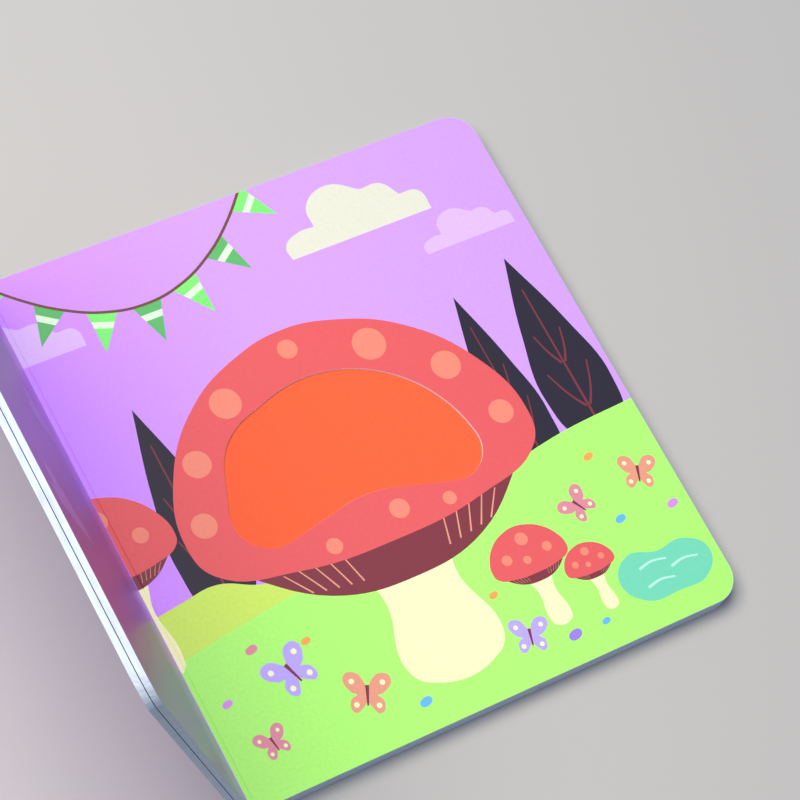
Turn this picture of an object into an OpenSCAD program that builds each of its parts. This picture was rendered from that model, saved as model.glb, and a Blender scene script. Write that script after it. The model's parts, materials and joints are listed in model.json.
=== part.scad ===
// Board book lying open on its back cover, with the front cover and one turned leaf standing.
// The origin is the middle of the back cover's underside: +X runs from the fold to the
// fore-edge, +Y from the foot to the head, and +Z is up.

/* [Boards] */
// Width of a leaf, from the fold to the fore-edge
page_w = 170; // [135:1:230]
// Height of a leaf, from the foot to the head
page_h = 180; // [130:1:240]
// Radius of the two fore-edge corners
corner_r = 9; // [2:0.5:20]
// Thickness of one leaf or cover
board_t = 1.7; // [1.4:0.05:2.6]
// Air between two boards that lie on each other
leaf_gap = 0.2; // [0.1:0.05:0.4]

/* [Page block] */
// Leaves that still lie on the back cover
block_leaves = 3; // [2:1:6]
// How far the slit between two leaves is open, measured in from the edges
slit_depth = 6; // [2:0.5:20]
// Width of the bound strip beside the fold, where the slits end
bound_w = 2; // [1:0.5:6]

/* [Fold] */
// Angle between the open halves
open_angle = 110; // [60:1:175]
// Distance from the fold to the crease pressed beside it
crease_from_fold = 1.7; // [1:0.1:6]
// Width of the crease
crease_w = 0.7; // [0.3:0.1:1.2]
// Depth of the crease
crease_d = 0.3; // [0.1:0.05:0.6]
// Thickness of the printed wrap over the backs of the boards
wrap_t = 0.4; // [0.2:0.05:0.6]
// Clearance that keeps the swinging boards off the spine
fold_clear = 0.15; // [0.1:0.05:0.3]

/* [Window] */
// Width of the die-cut window
window_w = 83.5; // [50:0.5:100]
// Distance from the fold to the window's centre
window_from_fold = 77; // [70:1:90]
// Distance from the foot to the window's centre
window_from_foot = 91; // [60:1:120]
// Thickness of the ply that the window is cut through
ply_t = 0.6; // [0.4:0.05:1.2]

/* [Touch patch] */
// Thickness of the patch behind the window
patch_t = 0.4; // [0.2:0.05:0.6]
// How far the patch reaches under the ply at its two ends
patch_margin = 4; // [2:0.5:8]
// Clearance round the patch and above it
patch_clear = 0.05; // [0.02:0.01:0.1]

/* [Hidden] */
$fn = 96;

// How far a cutting shape reaches past the face that it cuts
overcut = 1;
// Straight pieces that stand for each rounded corner of the window
arc_steps = 20;
// The window's corners round its centre and the radius of each, as shares of its width:
// left toe, hollow of the lower edge, right toe, right shoulder, left shoulder
window_corners = [
    [-0.586, -0.312, 0.139],
    [0.006, -0.190, 0.446],
    [0.525, -0.343, 0.131],
    [0.406, 0.445, 0.495],
    [-0.392, 0.195, 0.280]
];

// Levels from the table up
block_bottom = board_t + leaf_gap;
block_t = block_leaves * board_t + (block_leaves - 1) * leaf_gap;
page_top = block_bottom + block_t;
patch_floor = page_top - ply_t - patch_clear - patch_t;
fold_x = -page_w / 2;
fold_z = page_top + leaf_gap / 2;

// The standing half, measured from the fold: its back edge, and the inner faces of its boards
half_back = fold_clear;
leaf_face = leaf_gap / 2;
cover_face = leaf_face + board_t + leaf_gap;

board_white = "#EEF3FA";
print_lilac = "#DEA5FF";
print_lime = "#B4FF7A";
print_coral = "#F0605F";
patch_orange = "#FF6E42";

function unit(v) = v / norm(v);
function turned(v, a) = [v.x * cos(a) - v.y * sin(a), v.x * sin(a) + v.y * cos(a)];
function flat(p) = [p.x, p.y];

// The arc that rounds one corner, from the edge that comes in to the edge that goes out
function corner_arc(before, corner, after) =
    let (back = unit(flat(before) - flat(corner)))
    let (ahead = unit(flat(after) - flat(corner)))
    let (half = acos(back * ahead) / 2)
    let (centre = flat(corner) + unit(back + ahead) * corner[2] / sin(half))
    let (first = flat(corner) + back * corner[2] / tan(half) - centre)
    let (turn = sign(cross(-back, ahead)) * (180 - 2 * half))
    [for (k = [0 : arc_steps]) centre + turned(first, turn * k / arc_steps)];

// Outline of the window, or of what lies behind it, for a given width
module window_outline(width) {
    last = len(window_corners) - 1;
    points = [
        for (k = [0 : last])
            each corner_arc(
                window_corners[k == 0 ? last : k - 1],
                window_corners[k],
                window_corners[k == last ? 0 : k + 1])
    ];
    polygon(points * width);
}

// A leaf seen from above, from x = start to the fore-edge, pulled in all round by inset
module leaf_outline(start, inset = 0) {
    reach = page_w - inset;
    half_h = page_h / 2 - inset;
    r = max(corner_r - inset, overcut);
    translate([start, -half_h])
        square([reach - r - start, 2 * half_h]);
    translate([start, r - half_h])
        square([reach - start, 2 * (half_h - r)]);
    for (side = [-1, 1])
        translate([reach - r, side * (half_h - r)])
            circle(r);
}

// One board, lying flat on z = 0
module board(start) {
    linear_extrude(board_t)
        leaf_outline(start);
}

// The crease beside the fold, to be cut from a face at z = 0 whose board lies below it
module crease() {
    translate([crease_from_fold, 0, 0])
        rotate([90, 0, 0])
            linear_extrude(page_h + 2 * overcut, center = true)
                polygon([
                    [-crease_w / 2, overcut],
                    [-crease_w / 2, 0],
                    [0, -crease_d],
                    [crease_w / 2, 0],
                    [crease_w / 2, overcut]
                ]);
}

// The slit between two leaves, open at the head, the foot and the fore-edge
module leaf_slit() {
    linear_extrude(leaf_gap)
        difference() {
            translate([bound_w, -page_h / 2 - overcut])
                square([page_w, page_h + 2 * overcut]);
            leaf_outline(0, slit_depth);
        }
}

// Places a half that is drawn closed, on the fold's own axis, at its open angle
module swung_open() {
    translate([fold_x, 0, fold_z])
        rotate([0, -open_angle, 0])
            children();
}

module window_place(z) {
    translate([window_from_fold, window_from_foot - page_h / 2, z])
        children();
}

module back_cover() {
    color(board_white)
        translate([fold_x, 0, 0])
            board(fold_clear);
}

module page_block() {
    color(print_lime)
        translate([fold_x, 0, 0])
            difference() {
                translate([0, 0, block_bottom])
                    linear_extrude(block_t)
                        leaf_outline(wrap_t);
                for (k = [1 : block_leaves - 1])
                    translate([0, 0, block_bottom + k * board_t + (k - 1) * leaf_gap])
                        leaf_slit();
                translate([0, 0, page_top])
                    crease();
                window_place(page_top - ply_t)
                    linear_extrude(ply_t + overcut)
                        window_outline(window_w);
                window_place(patch_floor)
                    linear_extrude(patch_t + patch_clear)
                        window_outline(window_w + 2 * (patch_margin + patch_clear));
            }
}

module touch_patch() {
    color(patch_orange)
        translate([fold_x, 0, 0])
            window_place(patch_floor)
                linear_extrude(patch_t)
                    window_outline(window_w + 2 * patch_margin);
}

module spine() {
    color(print_lilac)
        translate([fold_x, -page_h / 2, block_bottom])
            cube([wrap_t, page_h, block_t]);
}

module turned_leaf() {
    color(print_lilac)
        swung_open()
            translate([0, 0, leaf_face])
                difference() {
                    board(half_back + wrap_t);
                    mirror([0, 0, 1])
                        crease();
                }
}

// The front board, with its wrap turned over the back edge of the turned leaf
module front_cover() {
    color(print_coral)
        swung_open()
            union() {
                translate([0, 0, cover_face])
                    board(half_back);
                translate([half_back, -page_h / 2, leaf_face])
                    cube([wrap_t, page_h, cover_face - leaf_face]);
            }
}

back_cover();
page_block();
touch_patch();
spine();
turned_leaf();
front_cover();
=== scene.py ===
# %% [markdown]
# # A board book, open on a table
#
# The boards come from the CAD model: a back cover, a block of leaves with a die-cut window,
# a felt patch behind that window, a spine, and a front cover that stands with one turned leaf.
# This lesson dresses them. It rounds the cut edges, gives each board its white core,
# and then prints the open spread the way a press does: one ink at a time on one flat sheet,
# which is creased and folded at the gutter before it is laid on the boards.

# %% Load the frame
import json
import math

import bpy
from mathutils import Matrix, Vector


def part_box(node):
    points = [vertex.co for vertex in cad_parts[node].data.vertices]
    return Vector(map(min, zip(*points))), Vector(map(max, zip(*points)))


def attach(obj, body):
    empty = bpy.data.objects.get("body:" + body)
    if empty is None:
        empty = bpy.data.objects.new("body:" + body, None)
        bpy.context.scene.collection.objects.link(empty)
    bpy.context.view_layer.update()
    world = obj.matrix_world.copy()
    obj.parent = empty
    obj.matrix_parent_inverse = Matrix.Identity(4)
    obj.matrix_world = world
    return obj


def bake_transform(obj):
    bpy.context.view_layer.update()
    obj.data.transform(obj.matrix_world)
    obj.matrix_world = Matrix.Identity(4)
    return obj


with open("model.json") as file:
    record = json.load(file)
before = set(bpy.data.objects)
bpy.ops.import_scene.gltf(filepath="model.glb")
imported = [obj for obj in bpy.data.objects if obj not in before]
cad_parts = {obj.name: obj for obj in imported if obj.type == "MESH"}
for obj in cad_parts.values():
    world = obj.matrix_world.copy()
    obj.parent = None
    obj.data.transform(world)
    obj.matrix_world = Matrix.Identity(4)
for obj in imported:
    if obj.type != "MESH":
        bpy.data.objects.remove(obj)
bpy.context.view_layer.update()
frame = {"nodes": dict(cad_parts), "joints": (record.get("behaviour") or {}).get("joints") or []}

nodes = frame["nodes"]
print("CAD nodes:", sorted(nodes))

# %% [markdown]
# ## Sizes
#
# Blender works in metres, and a book is easier to think of in millimetres, so `mm` turns one
# into the other. The levels and edges are read from the CAD boxes, and the radius of the round
# corners from the points at the fore-edge. The spread has a flat frame of its own: `u` runs from
# the fold to the right, `v` from the foot of the page to its head.

# %% Sizes of the book
def mm(length):
    """A length in millimetres, as metres."""
    return length / 1000


block_low, block_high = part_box("page_block")
patch_low, patch_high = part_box("touch_patch")
hinges = {joint["name"]: joint for joint in frame["joints"]}
FOLD = Vector(hinges["front_cover_hinge"]["pos_m"])
PAGE_TOP = block_high.z
PAGE_W = (block_high.x - FOLD.x) * 1000
PAGE_H = (block_high.y - block_low.y) * 1000
OPEN_ANGLE = -hinges["front_cover_hinge"]["range_deg"][0]
NEAR = mm(0.01)
fore_edge = [v.co.y for v in nodes["page_block"].data.vertices if v.co.x > block_high.x - NEAR]
CORNER_R = (block_high.y - max(fore_edge)) * 1000
# The crease in the sheet, measured from the fold: its near edge, deepest line and far edge
CREASE_START, CREASE_AT, CREASE_END = 1.4, 1.75, 2.0
CREASE_D = 0.18
print("corner radius in mm:", round(CORNER_R, 3))
print("page in mm:", round(PAGE_W, 2), "by", round(PAGE_H, 2), "open at", OPEN_ANGLE, "degrees")

# %% [markdown]
# ## Camera
#
# The view looks down on the open page from the foot and the spine side, with a long lens and
# a rolled camera. Aim point, distance, two angles and the roll give the whole placement, which
# reads better than a matrix. A long lens keeps the page's sides nearly parallel.

# %% Camera
# The lens is known by its focal length in pixels of the square picture
SENSOR = 36.0
IMAGE_SIDE = 800
FOCAL_PIXELS = 3100
VIEW_AIM = Vector((mm(16.4), mm(7.5), PAGE_TOP))
VIEW_DISTANCE = mm(940.7)
VIEW_AZIMUTH, VIEW_ELEVATION, VIEW_ROLL = -53.26, 61.24, 27.59


def direction(azimuth, elevation):
    """Unit vector from the book towards a viewer at these angles, in degrees."""
    a, e = math.radians(azimuth), math.radians(elevation)
    return Vector((math.sin(a) * math.cos(e), -math.cos(a) * math.cos(e), math.sin(e)))


def deselect_all():
    """Leaves edit mode and selects nothing, so that an operator acts only on what is picked next."""
    if bpy.context.object and bpy.context.object.mode != "OBJECT":
        bpy.ops.object.mode_set(mode="OBJECT")
    bpy.ops.object.select_all(action="DESELECT")


deselect_all()
towards_camera = direction(VIEW_AZIMUTH, VIEW_ELEVATION)
bpy.ops.object.camera_add(location=VIEW_AIM + towards_camera * VIEW_DISTANCE)
camera = bpy.context.object
upright = (-towards_camera).to_track_quat("-Z", "Y").to_matrix()
roll = Matrix.Rotation(math.radians(VIEW_ROLL), 3, "Z")
camera.rotation_euler = (upright @ roll).to_euler()
camera.data.sensor_width = SENSOR
camera.data.lens = FOCAL_PIXELS * SENSOR / IMAGE_SIDE
bpy.context.scene.camera = camera
print("camera at", [round(x, 3) for x in camera.location], "lens", camera.data.lens, "mm")

# %% [markdown]
# ## Colours and materials
#
# A colour is picked as an sRGB hex value, as a paint chart gives it. Blender mixes light in linear
# values, so one function turns one into the other. A material is a small tree of nodes, and one
# helper adds a node with its settings and its links.

# %% Colours and materials
def linear(hex_colour):
    """An sRGB hex colour such as #FF8800 as linear RGBA."""
    channels = [int(hex_colour[i:i + 2], 16) / 255 for i in (1, 3, 5)]
    return [c / 12.92 if c <= 0.04045 else ((c + 0.055) / 1.055) ** 2.4 for c in channels] + [1]


def add_node(tree, kind, links=(), **settings):
    """Adds one node, sets its named inputs or properties, and links its inputs."""
    made = tree.nodes.new(kind)
    for name, value in settings.items():
        socket = made.inputs.get(name.replace("_", " "))
        if socket is not None and not hasattr(made, name):
            socket.default_value = value
        else:
            setattr(made, name, value)
    for socket, (source, output) in dict(links).items():
        tree.links.new(source.outputs[output], made.inputs[socket])
    return made


def new_material(name):
    """A material with an empty Principled shader, its tree, and its Object coordinates."""
    material = bpy.data.materials.new(name)
    material.use_nodes = True
    tree = material.node_tree
    shader = tree.nodes["Principled BSDF"]
    coords = add_node(tree, "ShaderNodeTexCoord")
    return material, tree, shader, coords


print("middle grey in linear light:", [round(c, 3) for c in linear("#808080")])

# %% [markdown]
# ## Floor and light
#
# The studio is a pale floor under one broad softbox, with a weak cool sky all round. The softbox
# hangs high behind the standing half, so that half softly shades the gutter and its own inside,
# its upper edge shines, and the edges that look at the viewer fall into cool shade.
# The plain display transform keeps the inks as saturated as they are printed.

# %% Floor and light
# Lengths of the studio are in metres, angles in degrees
FLOOR_SIDE = 16.0
FLOOR_DROP = mm(0.1)
KEY_WATTS, KEY_SIZE, KEY_DISTANCE = 22.5, 0.9, 1.3
KEY_AZIMUTH, KEY_ELEVATION = 243, 65.5
SKY_STRENGTH = 0.38
FLOOR_TINT, KEY_TINT, SKY_TINT = "#B9B7B4", "#FFF8EE", "#BFDAFF"
FLOOR_ROUGHNESS = 0.8

scene = bpy.context.scene
scene.view_settings.view_transform = "Standard"
world = bpy.data.worlds.new("studio sky")
world.use_nodes = True
world.node_tree.nodes["Background"].inputs["Color"].default_value = linear(SKY_TINT)
world.node_tree.nodes["Background"].inputs["Strength"].default_value = SKY_STRENGTH
scene.world = world

deselect_all()
bpy.ops.mesh.primitive_plane_add(size=FLOOR_SIDE, location=(0, 0, -FLOOR_DROP))
floor = bpy.context.object
floor.name = "studio_floor"
floor_paint, _, shader, _ = new_material("pale studio floor")
shader.inputs["Base Color"].default_value = linear(FLOOR_TINT)
shader.inputs["Roughness"].default_value = FLOOR_ROUGHNESS
floor.data.materials.append(floor_paint)

bpy.ops.object.light_add(type="AREA")
key = bpy.context.object
key.data.shape = "SQUARE"
key.data.size = KEY_SIZE
key.data.energy = KEY_WATTS
key.data.color = linear(KEY_TINT)[:3]
key_from = direction(KEY_AZIMUTH, KEY_ELEVATION)
key.location = VIEW_AIM + key_from * KEY_DISTANCE
key.rotation_euler = (-key_from).to_track_quat("-Z", "Y").to_euler()
print("key light at", [round(x, 2) for x in key.location])

# %% [markdown]
# ## White board
#
# Board-book leaves are solid bleached pulp board, die-cut in a stack, so every edge is the white
# core with faint long fibres. Here the cut edges are drawn a bluish grey, darker than that white,
# as painted shade, and the ply that the window is cut through keeps the plain white.
# The CAD boards are right as they are.
# They only need the slightly crushed edge that the die leaves, so they are shaded flat, a Weld
# joins their loose triangles and a Bevel rounds the edges by a few hundredths of a millimetre.

# %% White board edges
EDGE_ROUND = mm(0.06)
EDGE_ANGLE = 85
MERGE = mm(0.002)
# Pulp fibres are a few hundredths of a millimetre wide, too fine to show. The streaks stand for
# bundles of them, drawn as coarse as they need to show: about 8 mm long and half a millimetre thick
FIBRE = mm(1.6)
FIBRE_STRETCH = (0.2, 0.2, 3)
BOARD_ROUGHNESS = 0.72


def bleached_board(name, dark, light):
    """Bleached pulp board, cut by a die: white, dull, with fibres drawn out along the sheet."""
    material, tree, shader, coords = new_material(name)
    stretch = add_node(tree, "ShaderNodeMapping", {"Vector": (coords, "Object")}, Scale=FIBRE_STRETCH)
    fibres = add_node(tree, "ShaderNodeTexNoise", {"Vector": (stretch, "Vector")},
                      Scale=1 / FIBRE, Detail=5, Roughness=0.6)
    tint = add_node(tree, "ShaderNodeValToRGB", {"Fac": (fibres, "Fac")})
    for element, place, colour in zip(tint.color_ramp.elements, (0.3, 0.7), (dark, light)):
        element.position = place
        element.color = linear(colour)
    bump = add_node(tree, "ShaderNodeBump", {"Height": (fibres, "Fac")}, Strength=0.3, Distance=mm(0.05))
    tree.links.new(tint.outputs["Color"], shader.inputs["Base Color"])
    tree.links.new(bump.outputs["Normal"], shader.inputs["Normal"])
    shader.inputs["Roughness"].default_value = BOARD_ROUGHNESS
    return material


# The bluish grey of the board is painted shade; the window's cut ply keeps the plain white
board = bleached_board("pulp board with painted shade", "#AFBBCB", "#CAD4E0")
white_ply = bleached_board("white cut ply", "#F1F2F6", "#FFFFFF")
for name in ("back_cover", "page_block", "turned_leaf", "front_cover", "spine"):
    solid = nodes[name]
    solid.data.materials.clear()
    solid.data.materials.append(board)
    deselect_all()
    solid.select_set(True)
    bpy.ops.object.shade_flat()
    weld = solid.modifiers.new("join triangles", "WELD")
    weld.merge_threshold = MERGE
    edge = solid.modifiers.new("die-cut edge", "BEVEL")
    edge.width = EDGE_ROUND
    edge.segments = 2
    edge.limit_method = "ANGLE"
    edge.angle_limit = math.radians(EDGE_ANGLE)
    print(name, "faces:", len(solid.data.polygons))

# %% [markdown]
# ## Felt patch
#
# The patch behind the window is smooth short-nap felt in one bright orange. Felt scatters light
# in its nap, so it is fully rough with a little sheen, and a fine tangle of fibres lifts it.

# %% Felt patch
# Wool fibres are a few hundredths of a millimetre wide, too fine to show. The nap is drawn as
# coarse as it needs to show, in tufts about a third of a millimetre wide
NAP = mm(0.7)
FELT_DARK, FELT_LIGHT = "#EC5A2E", "#F4663C"
FELT_ROUGHNESS, FELT_SHEEN = 0.95, 0.15


def orange_felt():
    """Pressed orange felt with a short nap: matt, with a fine tangle of tufts."""
    material, tree, shader, coords = new_material("pressed orange felt")
    nap = add_node(tree, "ShaderNodeTexNoise", {"Vector": (coords, "Object")},
                   Scale=1 / NAP, Detail=6, Roughness=0.7, Distortion=1.5)
    tint = add_node(tree, "ShaderNodeValToRGB", {"Fac": (nap, "Fac")})
    for element, place, colour in zip(tint.color_ramp.elements, (0.25, 0.75), (FELT_DARK, FELT_LIGHT)):
        element.position = place
        element.color = linear(colour)
    bump = add_node(tree, "ShaderNodeBump", {"Height": (nap, "Fac")}, Strength=0.25, Distance=mm(0.08))
    tree.links.new(tint.outputs["Color"], shader.inputs["Base Color"])
    tree.links.new(bump.outputs["Normal"], shader.inputs["Normal"])
    shader.inputs["Roughness"].default_value = FELT_ROUGHNESS
    shader.inputs["Sheen Weight"].default_value = FELT_SHEEN
    return material


nodes["touch_patch"].data.materials.clear()
nodes["touch_patch"].data.materials.append(orange_felt())

# %% [markdown]
# ## Printing inks
#
# The pages are offset printed and laminated with a thin clear film. Under the film each ink is a
# flat field with a faint mottle where the board takes it up unevenly. The film gives an even
# gloss that mirrors the other page near the gutter, with the slight orange peel of a film
# that was pressed on with rollers. One function makes every ink, so only the colour differs.

# %% Printing inks
# The ink of the left page's clouds is darkened with that page, as painted shade
INKS = {
    "cloud": "#E0E0CE", "mist": "#DDB9F6", "shaded_cloud": "#AA7CD0", "far_hill": "#CBEB62", "meadow": "#ADF973",
    "coral": "#E25C5E", "maroon": "#7E333E", "cream": "#F7F7BF", "peach": "#E69C80", "spot": "#EC8973",
    "navy": "#2A2433", "string": "#734939", "flag_light": "#7EEC74", "flag_deep": "#5EB869",
    "stripe": "#DCF2D4", "pond": "#73D6B3", "ripple": "#B4F0DA", "lavender": "#B8A6F9",
    "pink": "#DC8A9C", "blue": "#66B8EE", "violet": "#9A7EE4", "amber": "#F3A657", "magenta": "#D890E8",
}
# On a real page the mottle of the press and the orange peel of the film are about a millimetre
# across. The mottle makes the ink up to a twentieth darker or lighter
MOTTLE = mm(1.1)
MOTTLE_SHARES = (0.95, 1.04)
ORANGE_PEEL = mm(0.9)
FILM_ROUGHNESS, FILM_IOR = 0.36, 1.49


def laminated_ink(name, colour, space="UV"):
    """Offset ink on white board under a clear film: even gloss, faint mottle, slight orange peel."""
    material, tree, shader, coords = new_material("laminated ink, " + name)
    mottle = add_node(tree, "ShaderNodeTexNoise", {"Vector": (coords, space)},
                      Scale=1 / MOTTLE, Detail=4, Roughness=0.65)
    tint = add_node(tree, "ShaderNodeValToRGB", {"Fac": (mottle, "Fac")})
    for element, place, share in zip(tint.color_ramp.elements, (0.25, 0.75), MOTTLE_SHARES):
        element.position = place
        element.color = [min(c * share, 1) for c in linear(colour)]
    peel = add_node(tree, "ShaderNodeTexNoise", {"Vector": (coords, space)},
                    Scale=1 / ORANGE_PEEL, Detail=2)
    bump = add_node(tree, "ShaderNodeBump", {"Height": (peel, "Fac")}, Strength=0.04, Distance=mm(0.05))
    tree.links.new(tint.outputs["Color"], shader.inputs["Base Color"])
    tree.links.new(bump.outputs["Normal"], shader.inputs["Normal"])
    shader.inputs["Roughness"].default_value = FILM_ROUGHNESS
    shader.inputs["IOR"].default_value = FILM_IOR
    return material


inks = {name: laminated_ink(name, colour) for name, colour in INKS.items()}
print("inks mixed:", len(inks))

# %% [markdown]
# ## The sky ink
#
# The sky's colour changes across the spread: it is darker towards the gutter and darkest on the
# left page, as painted shade. It starts as any other ink. A ramp of colours over `u`, which the UV
# of the sheet keeps, is then multiplied in, with each colour given as a share of the open sky. A stop
# is a place `u` in millimetres and the colour there.

# %% The sky ink
# The stops at the gutter and on the left page are darker than the open sky, as painted shade
SKY_STOPS = ((-170, "#8856AC"), (-40, "#925DB8"), (0, "#D08EFF"), (70, "#D09EFA"))


def sky_with_painted_shade():
    """The sky ink, darker towards the gutter and darkest on the left page, as painted shade."""
    open_sky = SKY_STOPS[-1][1]
    material = laminated_ink("sky", open_sky)
    tree = material.node_tree
    shader = tree.nodes["Principled BSDF"]
    tint = shader.inputs["Base Color"].links[0].from_node
    coords = add_node(tree, "ShaderNodeTexCoord")
    across = add_node(tree, "ShaderNodeSeparateXYZ", {"Vector": (coords, "UV")})
    first, last = SKY_STOPS[0][0], SKY_STOPS[-1][0]
    fade = add_node(tree, "ShaderNodeMapRange", {"Value": (across, "X")},
                    From_Min=mm(first), From_Max=mm(last))
    veil = add_node(tree, "ShaderNodeValToRGB", {"Fac": (fade, "Result")})
    for at, _ in SKY_STOPS[1:-1]:
        veil.color_ramp.elements.new((at - first) / (last - first))
    for element, (_, colour) in zip(veil.color_ramp.elements, SKY_STOPS):
        element.color = [a / b for a, b in zip(linear(colour), linear(open_sky))]
    mix = add_node(tree, "ShaderNodeMix", data_type="RGBA", blend_type="MULTIPLY")
    mix.inputs["Factor"].default_value = 1.0
    tree.links.new(tint.outputs["Color"], mix.inputs["A"])
    tree.links.new(veil.outputs["Color"], mix.inputs["B"])
    tree.links.new(mix.outputs["Result"], shader.inputs["Base Color"])
    return material


inks["sky"] = sky_with_painted_shade()
print("stops of the sky:", [at for at, _ in SKY_STOPS])

# %% [markdown]
# ## Plain print on the outside
#
# The wrap round the outside of the book, and the pages that are not open, are printed in one plain
# lilac. They need no new mesh: on each CAD board the flat faces that look outwards take the ink,
# picked by their normals, and the cut edges keep the bluish grey of painted shade. The wall of the
# window is picked in the same way and takes the plain white of its ply.

# %% Plain print on the outside
# A face is printed if it looks along one of the normals, and it is a wall of the window if it stands
# upright close under the page
FACING = 0.99
UPRIGHT = 0.1
SAME_LEVEL = mm(0.1)
WALL_REACH = mm(1)
plain_ink = laminated_ink("plain lilac", SKY_STOPS[-1][1], "Object")
outward = Matrix.Rotation(math.radians(-OPEN_ANGLE), 3, "Y")
PRINTED = {
    "front_cover": (outward @ Vector((0, 0, 1)), outward @ Vector((-1, 0, 0))),
    "back_cover": (Vector((0, 0, 1)), Vector((0, 0, -1)), Vector((-1, 0, 0))),
    "spine": (Vector((-1, 0, 0)),),
    "page_block": (Vector((0, 0, -1)),),
}
for name, normals in PRINTED.items():
    mesh = nodes[name].data
    mesh.materials.append(plain_ink)
    lowest = min(vertex.co.z for vertex in mesh.vertices)
    for face in mesh.polygons:
        looks_out = any(face.normal.dot(normal) > FACING for normal in normals)
        inside = name == "page_block" and face.center.z > lowest + SAME_LEVEL
        face.material_index = 1 if looks_out and not inside else 0
    print(name, "printed faces:", sum(face.material_index for face in mesh.polygons))

block = nodes["page_block"].data
block.materials.append(white_ply)
for face in block.polygons:
    is_wall = abs(face.normal.z) < UPRIGHT and PAGE_TOP - WALL_REACH < face.center.z
    in_window = all(patch_low[i] < face.center[i] < patch_high[i] for i in (0, 1))
    if is_wall and in_window:
        face.material_index = 2
print("faces of the window's cut ply:", sum(face.material_index == 2 for face in block.polygons))

# %% [markdown]
# ## Drawing a printed shape
#
# A printed shape is a closed outline. A flat 2D curve is the natural tool: its anchors are smooth
# or cornered, and Blender fills it, with an inner outline becoming a hole. Converted to a mesh,
# it is a flat sheet that can be trimmed, creased and folded like paper. Its UV keeps each point's
# flat place, so the ink follows the paper when it bends. In an outline here a point is (u, v) in
# millimetres, and a third value marks a corner.

# %% Drawing a printed shape
CURVE_STEPS = 8


def flat_shape(name, outlines):
    """A flat mesh at z = 0, in the spread's frame, filled inside these closed outlines."""
    curve = bpy.data.curves.new(name, "CURVE")
    curve.dimensions = "2D"
    curve.fill_mode = "BOTH"
    curve.resolution_u = CURVE_STEPS
    for outline in outlines:
        spline = curve.splines.new("BEZIER")
        spline.bezier_points.add(len(outline) - 1)
        spline.use_cyclic_u = True
        for anchor, point in zip(spline.bezier_points, outline):
            anchor.co = (mm(point[0]), mm(point[1]), 0)
            kind = "VECTOR" if len(point) == 3 else "AUTO"
            anchor.handle_left_type = kind
            anchor.handle_right_type = kind
    shape = bpy.data.objects.new(name, curve)
    scene.collection.objects.link(shape)
    deselect_all()
    bpy.context.view_layer.objects.active = shape
    shape.select_set(True)
    bpy.ops.object.convert(target="MESH")
    piece = bpy.context.object
    while piece.data.uv_layers:
        piece.data.uv_layers.remove(piece.data.uv_layers[0])
    spread = piece.data.uv_layers.new(name="spread")
    for loop in piece.data.loops:
        spread.data[loop.index].uv = piece.data.vertices[loop.vertex_index].co.xy
    return piece


print("steps between two anchors:", CURVE_STEPS)

# %% [markdown]
# ## Dots and brush lines
#
# Two shapes come back all over the design: the dot and the brush line. A dot needs only four smooth
# anchors. A brush line is drawn down one side and back up the other, at a width that changes along it.

# %% Dots and brush lines
def turned(points, u, v, angle):
    """Points drawn round the origin, turned by an angle in degrees and moved to (u, v)."""
    c, s = math.cos(math.radians(angle)), math.sin(math.radians(angle))
    return [(u + p[0] * c - p[1] * s, v + p[0] * s + p[1] * c, *p[2:]) for p in points]


def dot(u, v, r):
    """A round dot from four smooth anchors."""
    return [turned([(r, 0)], u, v, quarter * 90)[0] for quarter in range(4)]


def stroke(points, width, tip):
    """A tapering brush line along points, from one width to another."""
    left, right = [], []
    last = len(points) - 1
    for k, (u, v) in enumerate(points):
        before, after = points[max(k - 1, 0)], points[min(k + 1, last)]
        along = Vector((after[0] - before[0], after[1] - before[1])).normalized()
        half = (width + (tip - width) * k / last) / 2
        mark = (1,) if k in (0, last) else ()
        left.append((u - along.y * half, v + along.x * half, *mark))
        right.append((u + along.y * half, v - along.x * half, *mark))
    return left + right[::-1]


print("a dot of one millimetre:", [tuple(round(x, 2) for x in p) for p in dot(0, 0, 1)])

# %% [markdown]
# ## Working in edit mode
#
# An operator acts on what is selected, as it does by hand. So a piece is opened in edit mode with
# all of it selected, one operator runs, and edit mode is left again. Bisect makes a straight cut,
# some points can be picked by their place, and a whole piece can be moved.

# %% Working in edit mode
def edit(piece):
    """Opens one piece in edit mode, with all of it selected."""
    deselect_all()
    bpy.context.view_layer.objects.active = piece
    piece.select_set(True)
    bpy.ops.object.mode_set(mode="EDIT")
    bpy.ops.mesh.select_all(action="SELECT")


def done():
    """Goes back to object mode."""
    bpy.ops.object.mode_set(mode="OBJECT")


def cut(piece, point, normal, **options):
    """One straight cut right through a flat piece."""
    edit(piece)
    bpy.ops.mesh.bisect(plane_co=point, plane_no=normal, **options)
    done()


def pick(piece, chosen):
    """Selects the vertices that are marked in chosen, and stays in edit mode."""
    edit(piece)
    bpy.ops.mesh.select_all(action="DESELECT")
    done()
    for vertex, wanted in zip(piece.data.vertices, chosen):
        vertex.select = wanted
    bpy.ops.object.mode_set(mode="EDIT")


def shift(piece, offset):
    """Moves a whole piece by an offset."""
    edit(piece)
    bpy.ops.transform.translate(value=offset)
    done()


print("a cut counts as on a line within", NEAR * 1000, "mm")

# %% [markdown]
# ## Trimming, creasing and folding the sheet
#
# The whole spread is drawn flat, left page and right page side by side, as it comes off the
# press. Bisect trims it to the boards and scores it where it will bend. The row of points on each
# crease line is pushed down into the groove that the boards have there, a little steeper on the
# side away from the fold. The left page is then turned up about the hinge in a few small steps,
# so the gutter is a tight round fold and not a knife edge.

# %% Trimming, creasing and folding
# In millimetres: how far the sheet stays inside the edges of the boards, and where it is scored
TRIM = 0.07
FOLD_LINES = (0.08, 0.04, 0, -0.04, -0.08)
CREASE_LINES = (CREASE_START, CREASE_AT, CREASE_END)


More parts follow.
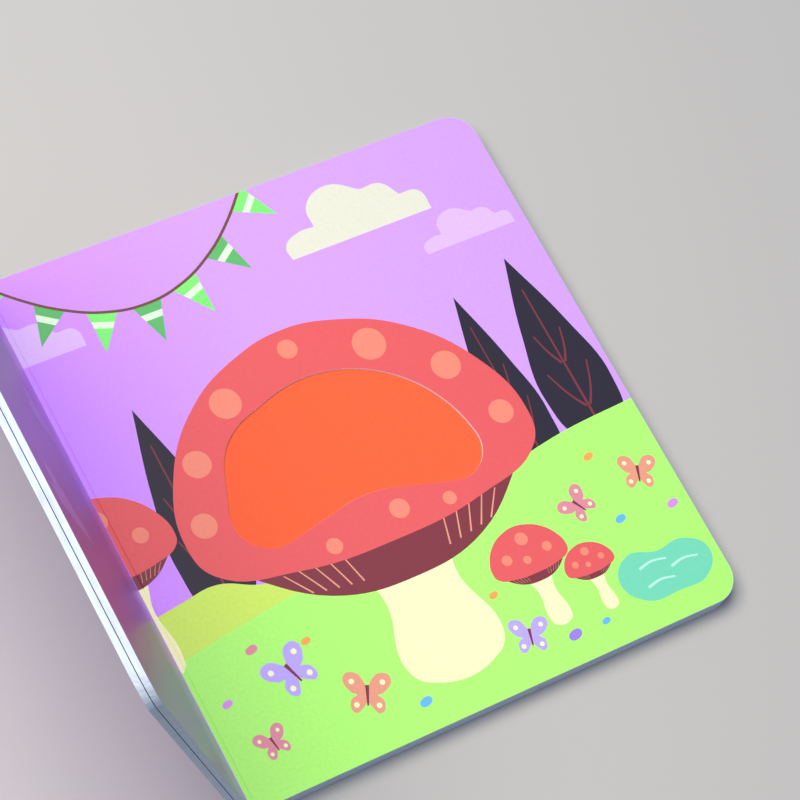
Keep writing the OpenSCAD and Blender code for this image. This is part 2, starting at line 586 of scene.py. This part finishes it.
def trim(piece, low_u):
    """Cuts off what hangs over the trimmed edges of the spread, or over the gutter at low_u."""
    left, right, foot, head = mm(low_u), mm(PAGE_W - TRIM), mm(TRIM), mm(PAGE_H - TRIM)
    for point, normal in (((left, 0, 0), (-1, 0, 0)), ((right, 0, 0), (1, 0, 0)),
                          ((0, foot, 0), (0, -1, 0)), ((0, head, 0), (0, 1, 0))):
        cut(piece, point, normal, clear_outer=True)


def press_creases(piece):
    """Scores a flat piece along the creases that it reaches, and presses the scored lines down."""
    for line in (*CREASE_LINES, *(-line for line in CREASE_LINES)):
        cut(piece, (mm(line), 0, 0), (1, 0, 0))
    pick(piece, [abs(abs(vertex.co.x) - mm(CREASE_AT)) < NEAR for vertex in piece.data.vertices])
    bpy.ops.transform.translate(value=(0, 0, -mm(CREASE_D)))
    done()


def turn_up(share):
    """Turns what is selected up about the hinge, by a share of the left page's full turn."""
    angle = math.radians(180 - OPEN_ANGLE) * share
    bpy.ops.transform.rotate(value=-angle, orient_axis="Y", center_override=(0, 0, FOLD.z))


def fold_up(piece):
    """Scores a flat piece at the gutter and turns it up, a little more at each score after the first."""
    for line in FOLD_LINES:
        cut(piece, (mm(line), 0, 0), (1, 0, 0))
    flat_u = [vertex.co.x for vertex in piece.data.vertices]
    turns = FOLD_LINES[1:]
    for line in turns:
        pick(piece, [u < mm(line) + NEAR for u in flat_u])
        turn_up(1 / len(turns))
        done()


print("fold steps:", len(FOLD_LINES) - 1)

# %% [markdown]
# ## Laying the inks on the page
#
# Each ink is a thin skin on the board, a few thousandths of a millimetre above the one printed
# before it, so that later inks cover earlier ones. The picture fills the right page and bleeds
# into the gutter, where it is trimmed, and it rides on the pages. The left page has only a few
# pale clouds, which are turned up with it and ride on the front.

# %% Laying the inks
# In millimetres: the sheet, the step from one ink to the next, and an ink
SHEET_T = 0.03
INK_STEP = 0.006
INK_T = 0.8 * INK_STEP


def flat_skin(name, outlines, low_u, height):
    """A trimmed and creased skin, still flat, at its height above the page."""
    piece = flat_shape(name, outlines)
    trim(piece, low_u)
    shift(piece, (0, 0, PAGE_TOP + mm(height)))
    edit(piece)
    if piece.data.polygons[0].normal.z < 0:
        bpy.ops.mesh.flip_normals()
    done()
    press_creases(piece)
    return piece


def finish_skin(piece, thickness, ink):
    """Puts a skin in the book's frame, gives it its thickness and its ink."""
    shift(piece, (FOLD.x, block_low.y, 0))
    edit(piece)
    bpy.ops.mesh.remove_doubles(threshold=MERGE)
    done()
    wall = piece.modifiers.new("skin", "SOLIDIFY")
    wall.thickness = mm(thickness)
    wall.offset = -1
    bpy.ops.object.modifier_apply(modifier=wall.name)
    piece.data.materials.clear()
    piece.data.materials.append(inks[ink])


def print_ink(motif, ink, layer, outlines):
    """Prints a list of outlines on the right page in one ink."""
    piece = flat_skin("print_" + motif, outlines, FOLD_LINES[0], SHEET_T + layer * INK_STEP)
    finish_skin(piece, INK_T, ink)
    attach(piece, "pages")


def print_left(motif, ink, layer, outlines):
    """Prints a list of outlines on the standing left page in one ink."""
    piece = flat_skin("print_" + motif, outlines, TRIM - PAGE_W, SHEET_T + layer * INK_STEP)
    edit(piece)
    turn_up(1)
    done()
    finish_skin(piece, INK_T, ink)
    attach(piece, "front")


print("ink layers are", INK_STEP, "mm apart")

# %% [markdown]
# ## The sheet and its sky
#
# The sheet itself carries the sky colour over the whole spread. Its corners follow the boards'
# round fore-edge corners, and its hole follows the rim of the CAD window, a twentieth of a
# millimetre back from the edge, so that the white ply shows as a hairline.

# %% The sheet and its sky
ARC_STEPS = 6
RIM_SETBACK = 0.05


def page_corner(u_side, v_side):
    """The rounded fore-edge corner of the trimmed sheet, from the v edge round to the u edge."""
    r = CORNER_R - TRIM
    centre_u = u_side * (PAGE_W - CORNER_R)
    centre_v = CORNER_R if v_side < 0 else PAGE_H - CORNER_R
    steps = [k * math.pi / 2 / ARC_STEPS for k in range(ARC_STEPS + 1)]
    arc = [(u_side * r * math.sin(a), v_side * r * math.cos(a)) for a in steps]
    return [(centre_u + du, centre_v + dv, 1) for du, dv in arc]


def window_rim(grow):
    """The window's rim, read from the CAD block and grown by a length in millimetres."""
    centre = (patch_low + patch_high) / 2
    rim = {(round(v.co.x, 6), round(v.co.y, 6)) for v in nodes["page_block"].data.vertices
           if abs(v.co.z - PAGE_TOP) < NEAR and patch_low.x < v.co.x < patch_high.x
           and patch_low.y < v.co.y < patch_high.y}
    points = [Vector(p) - centre.xy for p in rim]
    points.sort(key=lambda p: math.atan2(p.y, p.x))
    points = [p + p.normalized() * mm(grow) + centre.xy for p in points]
    return [((p.x - FOLD.x) * 1000, (p.y - block_low.y) * 1000, 1) for p in points]


sheet_edge = (page_corner(1, 1) + page_corner(1, -1)[::-1]
              + page_corner(-1, -1) + page_corner(-1, 1)[::-1])
window = window_rim(RIM_SETBACK)
sheet = flat_skin("printed_sheet", [sheet_edge, window], TRIM - PAGE_W, SHEET_T)
fold_up(sheet)
finish_skin(sheet, SHEET_T, "sky")
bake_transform(sheet)
print("sheet outline points:", len(sheet_edge), "window rim points:", len(window))

# %% [markdown]
# ## Motifs of the garden
#
# The design is a toadstool garden. Every motif is built from a few outlines, here a cap with its
# gills, stem and spots, and a teardrop tree with veins. Each function gives outlines round a place
# on the spread, so a motif can be used again at another size.

# %% Motifs of the garden
def cap(u, v, a, b):
    """A toadstool's cap, a wide to each side and b high above its lip."""
    right = [(0.54 * a, 0.035 * b), (0.94 * a, 0.15 * b), (a, 0.3 * b), (0.9 * a, 0.57 * b),
             (0.62 * a, 0.83 * b), (0.27 * a, 0.965 * b)]
    left = [(-x, y) for x, y in right[::-1]]
    return turned([(0, 0)] + right + [(0, b)] + left, u, v, 0)


def gills(u, v, a, b):
    """The underside of a cap, seen as a crescent that runs out under the lip."""
    right = [(0.44 * a, -0.11 * b), (0.86 * a, 0.14 * b, 1), (0.5 * a, 0.06 * b)]
    left = [(-p[0], p[1], *p[2:]) for p in right[::-1]]
    return turned([(0, -0.17 * b)] + right + [(0, 0.04 * b)] + left, u, v, 0)


def gill_lines(u, v, a, b):
    """Thin lines that fan out over the crescent."""
    fan = [-0.62, -0.54, -0.46, -0.38, -0.3, 0.3, 0.38, 0.46, 0.54, 0.62]
    lines = [[(0.84 * x * a, (0.12 * x * x - 0.115) * b), (x * a, 0.04 * b)] for x in fan]
    return [turned(stroke(line, 0.009 * a, 0.006 * a), u, v, 0) for line in lines]


def stem(u, v, a, h):
    """A stem below a cap of half width a, h long, wider at its foot."""
    right = [(0.24 * a, 0.1 * a), (0.21 * a, -0.4 * h), (0.28 * a, -0.86 * h), (0.2 * a, -h)]
    left = [(-x, y) for x, y in right[::-1]]
    return turned(right + left, u, v, 0)


def spots(u, v, a, b):
    """Four round spots on a small cap."""
    places = [(-0.52, 0.44, 0.13), (0.06, 0.72, 0.16), (0.54, 0.4, 0.12), (-0.06, 0.3, 0.1)]
    return [dot(u + x * a, v + y * b, r * a) for x, y, r in places]


def garden_tree(u, v, w, h):
    """A teardrop tree with a pointed top."""
    right = [(0.3 * w, 0.04 * h), (0.5 * w, 0.26 * h), (0.34 * w, 0.6 * h)]
    left = [(-x, y) for x, y in right[::-1]]
    return turned(right + [(0, h, 1)] + left, u, v, 0)


def veins(u, v, w, h):
    """A tree's trunk line with two pairs of branches."""
    lines = [[(0, 0.02 * h), (0, 0.42 * h), (0, 0.82 * h)]]
    for side in (-1, 1):
        low = [(0.03, 0.17), (0.16, 0.25), (0.3, 0.38)]
        high = [(0.03, 0.41), (0.12, 0.48), (0.2, 0.58)]
        lines += [[(side * x * w, y * h) for x, y in line] for line in (low, high)]
    return [turned(stroke(line, 0.035 * w, 0.02 * w), u, v, 0) for line in lines]


print("points of one cap:", len(cap(0, 0, 10, 10)))

# %% [markdown]
# ## Motifs of the sky and the meadow
#
# A cloud has a flat foot and round scallops, so its outline mixes corners and smooth anchors. The
# wings of a butterfly are one outline with a corner where two wings meet, and a pebble is an oval.

# %% Motifs of the sky and the meadow
def cloud(u, v, w, h):
    """A cloud with a flat foot and four scallops."""
    shape = [(-0.5, 0.02, 1), (-0.5, 0.26), (-0.38, 0.42), (-0.27, 0.42, 1), (-0.25, 0.78),
             (-0.06, 1.0), (0.13, 0.74, 1), (0.27, 0.72), (0.35, 0.44, 1), (0.48, 0.38), (0.5, 0.02, 1)]
    return turned([(p[0] * w, p[1] * h, *p[2:]) for p in shape], u, v, 0)


def butterfly(u, v, r, turn):
    """The wings of a butterfly as one outline, r wide to each side."""
    right = [(0.5, 0.95), (1, 0.8), (0.72, 0.12), (0.42, 0, 1), (0.72, -0.3), (0.55, -0.8), (0.18, -0.55)]
    left = [(-p[0], *p[1:]) for p in right[::-1]]
    wings = [(0, 0.3, 1)] + right + [(0, -0.25, 1)] + left
    return turned([(p[0] * r, p[1] * r, *p[2:]) for p in wings], u, v, turn)


def butterfly_body(u, v, r, turn):
    """A slim body between the wings, thinner at its tail."""
    middle = [(0, 0.42 * r), (0, 0.05 * r), (0, -0.48 * r)]
    return turned(stroke(middle, 0.17 * r, 0.08 * r), u, v, turn)


def wing_spots(u, v, r, turn):
    """A spot on each of the four wings."""
    middles = [(side * x * r, y * r) for side in (-1, 1) for x, y in ((0.66, 0.56), (0.48, -0.46))]
    return [dot(*middle, 0.12 * r) for middle in turned(middles, u, v, turn)]


def pebble(u, v, r):
    """A small oval stone, turned a little."""
    return turned([(1.25 * r, 0), (0, 0.8 * r), (-1.25 * r, 0), (0, -0.8 * r)], u, v, 15)


print("points of one pair of wings:", len(butterfly(0, 0, 10, 0)))

# %% [markdown]
# ## Sky, hills and trees
#
# The press lays the large quiet fields first: clouds and trees against the sky, then the far
# hill and the meadow in front of them. The meadow follows the round corners of the page.

# %% Sky, hills and trees
# A tree is u, v, width and height, and so is a cloud
TREES = [(156, 62, 24, 66), (134, 60, 18, 62), (24, 56, 21, 70)]
far_hill = [(-4, 30, 1), (-4, 63, 1), (10, 65), (22, 66), (34, 61), (60, 57), (90, 50), (110, 30, 1)]
meadow = ([(-4, 48, 1), (40, 54), (90, 58), (140, 68), (PAGE_W - TRIM, 70, 1)]
          + page_corner(1, -1)[::-1] + [(-4, 0, 1)])
print_ink("mist", "mist", 1, [cloud(-2, 150, 46, 17), cloud(150, 138, 32, 12)])
print_ink("clouds", "cloud", 1, [cloud(118, 152, 50, 20)])
# The left page's clouds are printed darker along with that page, as painted shade
shaded_left_clouds = [cloud(-118, 138, 56, 22), cloud(-44, 112, 42, 16), cloud(-132, 58, 44, 17)]
print_left("shaded_left_clouds", "shaded_cloud", 1, shaded_left_clouds)
print_ink("trees", "navy", 1, [garden_tree(*place) for place in TREES])
print_ink("veins", "maroon", 2, [line for place in TREES for line in veins(*place)])
print_ink("far_hill", "far_hill", 3, [far_hill])
print_ink("meadow", "meadow", 4, [meadow])
print("trees:", len(TREES))

# %% [markdown]
# ## Toadstools
#
# The largest cap is drawn round the window, so the felt is its soft top and the ink takes the
# window as its hole. The others repeat the motif, and one of them runs into the gutter.

# %% Toadstools
# A cap is u, v, half its width and its height, and a spot is u, v and its radius
BIG = (78, 57.5, 59, 75)
SMALL = [(-3, 78, 21, 27), (113, 31, 13, 16), (129.5, 24, 8.5, 10)]
STEMS = [44, 32, 17, 12]
BIG_SPOTS = [(27, 84, 4), (34, 102.5, 4.4), (51, 117, 5), (77, 126, 3.2), (101.5, 118, 5.4),
             (120.5, 102.5, 4.8), (129, 82, 4), (60, 63, 2.6), (84, 66, 3.2), (100, 63, 2.2)]
places = [BIG] + SMALL
print_ink("stems", "cream", 6, [stem(u, v, a, h) for (u, v, a, _), h in zip(places, STEMS)])
print_ink("gills", "maroon", 7, [gills(*place) for place in places])
print_ink("gill_lines", "peach", 8, [line for place in places for line in gill_lines(*place)])
print_ink("caps", "coral", 9, [cap(*place) for place in places] + [window])
small_spots = [spot for place in SMALL for spot in spots(*place)]
print_ink("spots", "spot", 10, [dot(*spot) for spot in BIG_SPOTS] + small_spots)
print("toadstools:", len(places))

# %% [markdown]
# ## Bunting
#
# A string of bunting hangs in from the head of the page. The string is a parabola, as a loaded
# string hangs, and each flag is one triangle that is turned to the string's slope where it hangs.

# %% Bunting
STRING_U, STRING_V = 44, 156
STRING_BEND = 0.0125
STRING_ENDS = 48
STRING_W = 0.9
FLAG_STEP = 14
FLAG_W, FLAG_L = 9.5, 13.5


def on_string(u):
    """A point of the string at u."""
    return u, STRING_V + STRING_BEND * (u - STRING_U) ** 2


def hung(points, u):
    """Points drawn below a level string, turned to the string's slope and hung at u."""
    slope = math.degrees(math.atan(2 * STRING_BEND * (u - STRING_U)))
    return turned(points, *on_string(u), slope)


string = stroke([on_string(STRING_U + STRING_ENDS * k / 4) for k in range(-4, 5)], STRING_W, STRING_W)
flag = [(-FLAG_W / 2, 0, 1), (FLAG_W / 2, 0, 1), (0, -FLAG_L, 1)]
stripe = [(-0.38 * FLAG_W, -0.24 * FLAG_L, 1), (0.38 * FLAG_W, -0.24 * FLAG_L, 1),
          (0.3 * FLAG_W, -0.4 * FLAG_L, 1), (-0.3 * FLAG_W, -0.4 * FLAG_L, 1)]
flag_places = [STRING_U + FLAG_STEP * k for k in range(-3, 4)]
print_ink("flags_light", "flag_light", 5, [hung(flag, u) for u in flag_places[::2]])
print_ink("flags_deep", "flag_deep", 5, [hung(flag, u) for u in flag_places[1::2]])
print_ink("flag_stripes", "stripe", 6, [hung(stripe, u) for u in flag_places])
print_ink("string", "string", 7, [string])
print("flags:", len(flag_places))

# %% [markdown]
# ## Butterflies, pebbles and a pond
#
# Butterflies and pebbles are scattered over the meadow, and a small pond with three ripples lies in
# its corner. The pond is a smooth closed curve through eight anchors.

# %% Butterflies, pebbles and a pond
# A butterfly is u, v, half its width, its turn and its ink, and a pebble is u, v, its size and its ink
BUTTERFLIES = [(30, 33, 7.5, 20, "lavender"), (47, 18, 7, -25, "peach"), (136, 45, 5.5, 30, "pink"),
               (101, 14, 6, -15, "lavender"), (15, 16, 5, 10, "pink"), (159, 47, 6, -20, "peach")]
PEBBLES = [(62, 9, 1.7, "blue"), (114, 9, 1.9, "violet"), (22, 44, 1.6, "pink"), (125, 9, 1.2, "blue"),
           (38, 40, 1.3, "amber"), (164, 34, 1.6, "magenta"), (146, 36, 1.5, "blue"),
           (8, 32, 1.4, "magenta"), (147, 58, 1.4, "amber"), (97, 30, 1.3, "amber")]
POND_U, POND_V, POND_W, POND_H = 151, 16, 16, 8.5
POND_SHORE = [(1, 0.1), (0.62, 0.8), (0, 0.75), (-0.6, 1), (-1, 0.2), (-0.7, -0.75),
              (0.05, -0.9), (0.7, -0.8)]
RIPPLE_W, RIPPLE_TIP = 0.9, 0.6
POND_RIPPLES = [(-0.2, 0.38), (0.42, 0.02), (-0.22, -0.36)]

for tint in ("lavender", "peach", "pink"):
    print_ink("wings_" + tint, tint, 6, [butterfly(*b[:4]) for b in BUTTERFLIES if b[4] == tint])
print_ink("wing_spots", "cream", 7, [spot for b in BUTTERFLIES for spot in wing_spots(*b[:4])])
print_ink("butterfly_bodies", "maroon", 7, [butterfly_body(*b[:4]) for b in BUTTERFLIES])
for tint in ("blue", "violet", "magenta", "pink", "amber"):
    print_ink("pebbles_" + tint, tint, 6, [pebble(*p[:3]) for p in PEBBLES if p[3] == tint])

shore = [(x * POND_W, y * POND_H) for x, y in POND_SHORE]
ripple = stroke([(-0.3 * POND_W, 0), (0, 0.1 * POND_H), (0.3 * POND_W, 0)], RIPPLE_W, RIPPLE_TIP)
print_ink("pond", "pond", 5, [turned(shore, POND_U, POND_V, 0)])
print_ink("ripples", "ripple", 6, [turned(ripple, POND_U + x * POND_W, POND_V + y * POND_H, 0)
                                   for x, y in POND_RIPPLES])
print("butterflies:", len(BUTTERFLIES), "pebbles:", len(PEBBLES))
